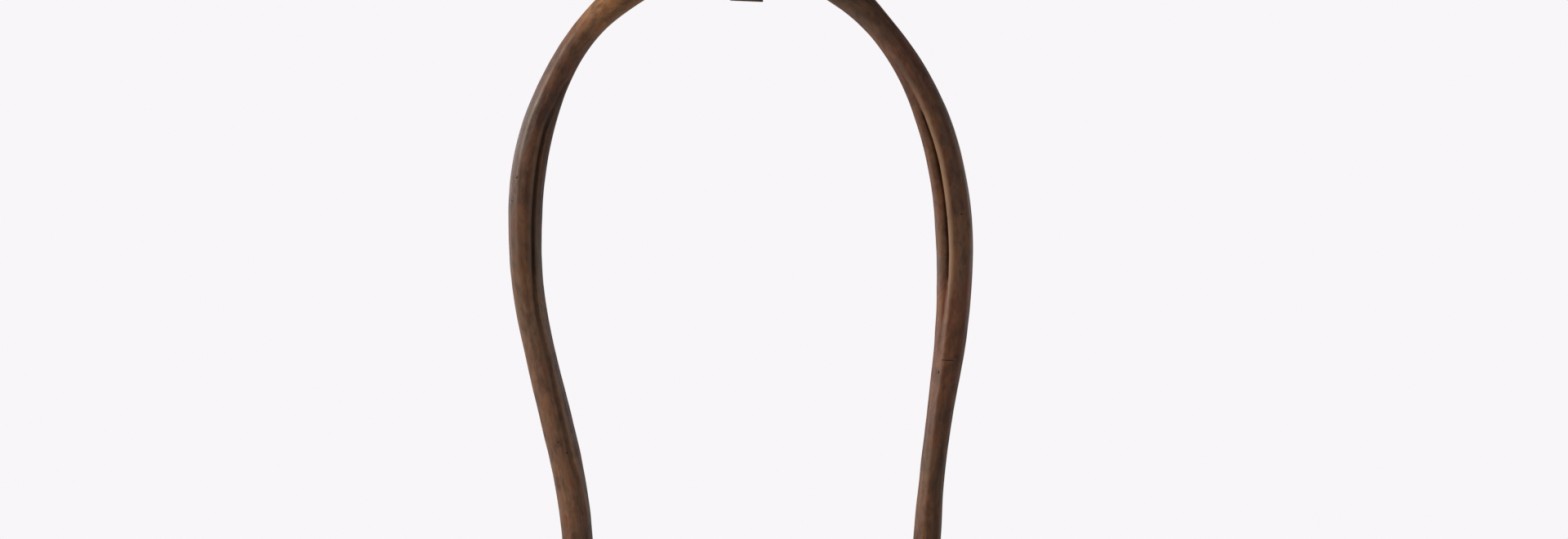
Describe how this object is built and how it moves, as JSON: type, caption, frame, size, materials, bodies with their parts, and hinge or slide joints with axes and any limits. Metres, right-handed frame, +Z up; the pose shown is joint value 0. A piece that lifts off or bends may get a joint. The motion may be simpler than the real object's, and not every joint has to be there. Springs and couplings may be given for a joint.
{
  "type": "ox yoke",
  "caption": "Single ox yoke hung by its bent bow, with a carved neck beam, pull-out bow pins, iron bearing plates, end bands, eye bolts and swinging trace rings.",
  "frame": {"origin": "where the hanging strap's loop bears on its hook", "axes": "+Z up, +X along the neck beam to the viewer's right, -Y towards the viewer, on the side of the bow pins' knobs"},
  "size_m": [0.7498, 0.1233, 0.738],
  "materials": {
    "bow_wood": "bent hickory, worn smooth, dark brown patina",
    "beam_wood": "hewn hardwood, dark weathered patina",
    "pin_wood": "whittled hickory, oiled",
    "strap_leather": "old harness leather, dry",
    "forged_iron": "hand-forged wrought iron, brown rust",
    "rivet_copper": "hammered copper, tarnished"
  },
  "bodies": {
    "hanger": {"hanging_strap": "strap_leather", "strap_rivet_left": "rivet_copper", "strap_rivet_right": "rivet_copper"},
    "bow": {"ox_bow": "bow_wood"},
    "beam": {"neck_beam": "beam_wood", "pin_plate_left": "forged_iron", "end_band_left": "forged_iron", "eye_bolt_left": "forged_iron", "eye_washer_left": "forged_iron", "nut_washer_left": "forged_iron", "square_nut_left": "forged_iron", "pin_plate_right": "forged_iron", "end_band_right": "forged_iron", "eye_bolt_right": "forged_iron", "eye_washer_right": "forged_iron", "nut_washer_right": "forged_iron", "square_nut_right": "forged_iron", "plate_nail_left_1": "forged_iron", "plate_nail_left_2": "forged_iron", "plate_nail_left_3": "forged_iron", "plate_nail_left_4": "forged_iron", "plate_nail_right_1": "forged_iron", "plate_nail_right_2": "forged_iron", "plate_nail_right_3": "forged_iron", "plate_nail_right_4": "forged_iron", "band_nail_left": "forged_iron", "band_nail_right": "forged_iron"},
    "left_pin": {"bow_pin_left": "pin_wood"},
    "right_pin": {"bow_pin_right": "pin_wood"},
    "left_ring": {"trace_ring_left": "forged_iron"},
    "right_ring": {"trace_ring_right": "forged_iron"}
  },
  "joints": [
    {"name": "bow_swing", "type": "hinge", "parent": "hanger", "child": "bow", "pos_m": [0, 0, -0.0555], "axis": [1, 0, 0], "range_deg": [-25, 25]},
    {"name": "beam_play", "type": "slide", "parent": "bow", "child": "beam", "axis": [0, 0, 1], "range_m": [0, 0.02]},
    {"name": "left_pin_pull", "type": "slide", "parent": "bow", "child": "left_pin", "axis": [0, -1, 0], "range_m": [0, 0.06]},
    {"name": "right_pin_pull", "type": "slide", "parent": "bow", "child": "right_pin", "axis": [0, -1, 0], "range_m": [0, 0.06]},
    {"name": "left_ring_swing", "type": "hinge", "parent": "beam", "child": "left_ring", "pos_m": [-0.32, 0.0453, -0.61778], "axis": [1, 0, 0], "range_deg": [-25, 110]},
    {"name": "right_ring_swing", "type": "hinge", "parent": "beam", "child": "right_ring", "pos_m": [0.33, 0.0453, -0.61778], "axis": [1, 0, 0], "range_deg": [-25, 110]}
  ]
}
